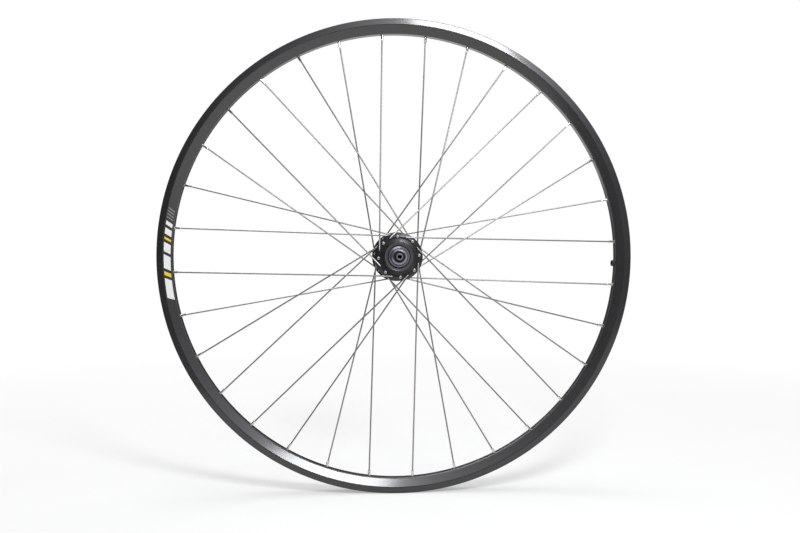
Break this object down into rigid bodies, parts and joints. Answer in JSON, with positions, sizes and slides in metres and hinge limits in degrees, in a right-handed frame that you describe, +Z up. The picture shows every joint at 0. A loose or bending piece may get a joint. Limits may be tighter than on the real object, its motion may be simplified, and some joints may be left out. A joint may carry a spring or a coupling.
{
  "type": "bicycle front wheel",
  "caption": "Spoked bicycle front wheel with a black double-wall rim, crossed steel spokes and a black disc-brake hub that turns on an axle for a quick-release fork.",
  "frame": {"origin": "the wheel's centre: on the axle's axis, in the rim's middle plane, halfway between the fork ends", "axes": "+Y along the axle to the brake disc side (the bicycle's left), +Z up, +X forward"},
  "size_m": [0.634, 0.11, 0.6339],
  "materials": {
    "rim_alloy": "black anodised, satin",
    "hub_alloy": "black anodised, glossy",
    "cap_alloy": "black anodised, glossy",
    "axle_alloy": "turned",
    "spoke_steel": "drawn stainless wire",
    "nipple_metal": "nickel plated",
    "bearing_steel": "ground steel",
    "seal_rubber": "matt",
    "cage_plastic": "moulded",
    "adapter_plastic": "moulded black plastic"
  },
  "bodies": {
    "axle": {"axle": "axle_alloy", "left_end_cap": "cap_alloy", "right_end_cap": "cap_alloy", "left_bearing_inner_race": "bearing_steel", "right_bearing_inner_race": "bearing_steel"},
    "wheel": {"hub_shell": "hub_alloy", "left_bearing_outer_race": "bearing_steel", "left_bearing_seal": "seal_rubber", "right_bearing_outer_race": "bearing_steel", "right_bearing_seal": "seal_rubber", "rim": "rim_alloy", "spoke_01": "spoke_steel", "spoke_02": "spoke_steel", "spoke_03": "spoke_steel", "spoke_04": "spoke_steel", "spoke_05": "spoke_steel", "spoke_06": "spoke_steel", "spoke_07": "spoke_steel", "spoke_08": "spoke_steel", "spoke_09": "spoke_steel", "spoke_10": "spoke_steel", "spoke_11": "spoke_steel", "spoke_12": "spoke_steel", "spoke_13": "spoke_steel", "spoke_14": "spoke_steel", "spoke_15": "spoke_steel", "spoke_16": "spoke_steel", "spoke_17": "spoke_steel", "spoke_18": "spoke_steel", "spoke_19": "spoke_steel", "spoke_20": "spoke_steel", "spoke_21": "spoke_steel", "spoke_22": "spoke_steel", "spoke_23": "spoke_steel", "spoke_24": "spoke_steel", "spoke_25": "spoke_steel", "spoke_26": "spoke_steel", "spoke_27": "spoke_steel", "spoke_28": "spoke_steel", "spoke_29": "spoke_steel", "spoke_30": "spoke_steel", "spoke_31": "spoke_steel", "spoke_32": "spoke_steel", "spoke_nipples": "nipple_metal", "valve_hole_adapter": "adapter_plastic"},
    "bearing_balls": {"left_bearing_balls": "bearing_steel", "left_bearing_cage": "cage_plastic", "right_bearing_balls": "bearing_steel", "right_bearing_cage": "cage_plastic"}
  },
  "joints": [
    {"name": "wheel_spin", "type": "hinge", "parent": "axle", "child": "wheel", "pos_m": [0, 0, 0], "axis": [0, 1, 0], "continuous": true},
    {"name": "ball_roll", "type": "hinge", "parent": "axle", "child": "bearing_balls", "pos_m": [0, 0, 0], "axis": [0, 1, 0], "continuous": true}
  ],
  "couplings": [
    {"joint": "ball_roll", "follows": "wheel_spin", "ratio": 0.6311}
  ]
}
